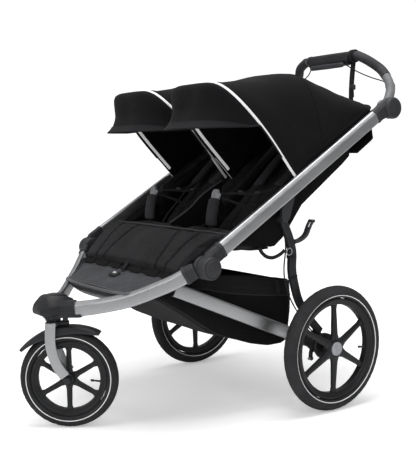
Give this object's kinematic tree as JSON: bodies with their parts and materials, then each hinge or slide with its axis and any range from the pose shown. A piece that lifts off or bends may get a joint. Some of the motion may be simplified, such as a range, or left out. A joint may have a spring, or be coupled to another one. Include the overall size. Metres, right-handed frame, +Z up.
{
  "type": "jogging stroller",
  "caption": "Side-by-side jogging stroller with a folding aluminium frame, swivelling front wheel, spoked wheels, hooded canopies, reclining seats, under-seat basket and adjustable handlebar.",
  "frame": {"origin": "on the ground, at the middle of the bounding box's length and width", "axes": "+X towards the stroller's left side, +Y towards the rear (handlebar), +Z up; the front wheel points along -Y"},
  "size_m": [0.794, 1.238, 1.1535],
  "materials": {
    "satin_aluminium": "satin anodised",
    "black_plastic": "matte, lightly textured",
    "grey_plastic": "matte",
    "black_fabric": "woven, matte",
    "grip_foam": "soft foam",
    "tyre_rubber": "matte rubber",
    "rim_plastic": "satin moulded",
    "cap_grey": "satin grey",
    "pad_webbing": "padded webbing"
  },
  "bodies": {
    "front_frame": {"head_block": "black_plastic", "lower_tube_left": "satin_aluminium", "lower_tube_right": "satin_aluminium", "hub_left": "black_plastic", "hub_right": "black_plastic", "strut_bracket_left": "black_plastic", "strut_bracket_right": "black_plastic", "footrest_tray": "grey_plastic", "footrest_clip": "black_plastic", "calf_pad": "black_fabric", "seat_base": "black_fabric", "center_divider": "black_fabric", "crotch_strap_left": "pad_webbing", "crotch_strap_right": "pad_webbing"},
    "upper_frame": {"upper_tube_left": "satin_aluminium", "upper_tube_right": "satin_aluminium", "hub_cover_left": "black_plastic", "hub_cover_right": "black_plastic", "upright_bracket_left": "black_plastic", "upright_bracket_right": "black_plastic", "handle_pivot_left": "black_plastic", "handle_pivot_right": "black_plastic", "upper_cross_tube": "black_plastic", "canopy_roof_left": "black_fabric", "canopy_roof_right": "black_fabric"},
    "handlebar": {"handlebar_tube": "black_plastic", "handle_grip_left": "grip_foam", "handle_grip_right": "grip_foam", "wrist_strap": "pad_webbing"},
    "pivot_button_left": {"pivot_button_left": "grey_plastic"},
    "pivot_button_right": {"pivot_button_right": "grey_plastic"},
    "brake_twist": {"brake_twist_grip": "black_plastic"},
    "canopy_left": {"canopy_hoop_left": "black_fabric"},
    "canopy_right": {"canopy_hoop_right": "black_fabric"},
    "seat_back_left": {"seat_back_left": "black_fabric", "harness_left": "pad_webbing"},
    "seat_back_right": {"seat_back_right": "black_fabric", "harness_right": "pad_webbing"},
    "rear_arm": {"rear_strut_left": "satin_aluminium", "rear_strut_right": "satin_aluminium", "axle_housing_left": "black_plastic", "axle_housing_right": "black_plastic", "rear_axle_tube": "black_plastic", "basket": "black_fabric"},
    "brake_pedal": {"brake_pedal": "grey_plastic"},
    "uprights": {"rear_upright_left": "black_plastic", "rear_upright_right": "black_plastic"},
    "fold_catch_left": {"fold_catch_left": "grey_plastic"},
    "fold_catch_right": {"fold_catch_right": "grey_plastic"},
    "rear_wheel_left": {"rear_tyre_left": "tyre_rubber", "rear_rim_left": "rim_plastic", "hub_cap_left": "cap_grey"},
    "rear_wheel_right": {"rear_tyre_right": "tyre_rubber", "rear_rim_right": "rim_plastic", "hub_cap_right": "cap_grey"},
    "front_fork": {"front_fork": "satin_aluminium", "front_fender": "black_plastic"},
    "swivel_lock": {"swivel_lock_knob": "grey_plastic"},
    "front_wheel": {"front_tyre": "tyre_rubber", "front_rim": "rim_plastic"}
  },
  "joints": [
    {"name": "frame_fold", "type": "hinge", "parent": "front_frame", "child": "upper_frame", "pos_m": [0, -0.22771, 0.4805], "axis": [1, 0, 0], "range_deg": [-95, 0]},
    {"name": "strut_pivot", "type": "hinge", "parent": "front_frame", "child": "rear_arm", "pos_m": [0, -0.26921, 0.41], "axis": [1, 0, 0], "range_deg": [-86, 0], "deforming": ["basket"]},
    {"name": "upright_pivot", "type": "hinge", "parent": "rear_arm", "child": "uprights", "pos_m": [0, 0.22479, 0.24], "axis": [1, 0, 0], "range_deg": [0, 16.5]},
    {"name": "fold_catch_hinge_left", "type": "hinge", "parent": "uprights", "child": "fold_catch_left", "pos_m": [0.316, 0.11129, 0.531], "axis": [1, 0, 0], "range_deg": [0, 25]},
    {"name": "fold_catch_hinge_right", "type": "hinge", "parent": "uprights", "child": "fold_catch_right", "pos_m": [-0.316, 0.11129, 0.531], "axis": [1, 0, 0], "range_deg": [0, 25]},
    {"name": "recline_left", "type": "hinge", "parent": "upper_frame", "child": "seat_back_left", "pos_m": [0.16, 0.04579, 0.548], "axis": [1, 0, 0], "range_deg": [-25, 0]},
    {"name": "recline_right", "type": "hinge", "parent": "upper_frame", "child": "seat_back_right", "pos_m": [-0.16, 0.04579, 0.548], "axis": [1, 0, 0], "range_deg": [-25, 0]},
    {"name": "canopy_swing_left", "type": "hinge", "parent": "upper_frame", "child": "canopy_left", "pos_m": [0.177, 0.10579, 0.73], "axis": [1, 0, 0], "range_deg": [-55, 0]},
    {"name": "canopy_swing_right", "type": "hinge", "parent": "upper_frame", "child": "canopy_right", "pos_m": [-0.177, 0.10579, 0.73], "axis": [1, 0, 0], "range_deg": [-55, 0]},
    {"name": "handlebar_tilt", "type": "hinge", "parent": "upper_frame", "child": "handlebar", "pos_m": [0, 0.49579, 0.94], "axis": [1, 0, 0], "range_deg": [-70, 20]},
    {"name": "pivot_button_press_left", "type": "slide", "parent": "handlebar", "child": "pivot_button_left", "axis": [1, 0, 0], "range_m": [0, 0.004]},
    {"name": "pivot_button_press_right", "type": "slide", "parent": "handlebar", "child": "pivot_button_right", "axis": [-1, 0, 0], "range_m": [0, 0.004]},
    {"name": "brake_twist_turn", "type": "hinge", "parent": "handlebar", "child": "brake_twist", "pos_m": [0, 0.57579, 1.135], "axis": [1, 0, 0], "range_deg": [0, 25]},
    {"name": "brake_pedal_hinge", "type": "hinge", "parent": "rear_arm", "child": "brake_pedal", "pos_m": [0.21, 0.23079, 0.195], "axis": [1, 0, 0], "range_deg": [-25, 0]},
    {"name": "rear_wheel_spin_left", "type": "hinge", "parent": "rear_arm", "child": "rear_wheel_left", "pos_m": [0.374, 0.23079, 0.195], "axis": [1, 0, 0], "continuous": true},
    {"name": "rear_wheel_spin_right", "type": "hinge", "parent": "rear_arm", "child": "rear_wheel_right", "pos_m": [-0.374, 0.23079, 0.195], "axis": [1, 0, 0], "continuous": true},
    {"name": "fork_swivel", "type": "hinge", "parent": "front_frame", "child": "front_fork", "pos_m": [0, -0.53421, 0.31], "axis": [0, 0, 1], "continuous": true},
    {"name": "swivel_lock_slide", "type": "slide", "parent": "front_fork", "child": "swivel_lock", "axis": [0, 0, 1], "range_m": [0, 0.004]},
    {"name": "front_wheel_spin", "type": "hinge", "parent": "front_fork", "child": "front_wheel", "pos_m": [0.02708, -0.49827, 0.145], "axis": [0.7986, -0.6018, 0], "continuous": true}
  ],
  "couplings": [
    {"joint": "strut_pivot", "follows": "frame_fold", "ratio": 0.9},
    {"joint": "upright_pivot", "follows": "frame_fold", "ratio": -0.168}
  ]
}
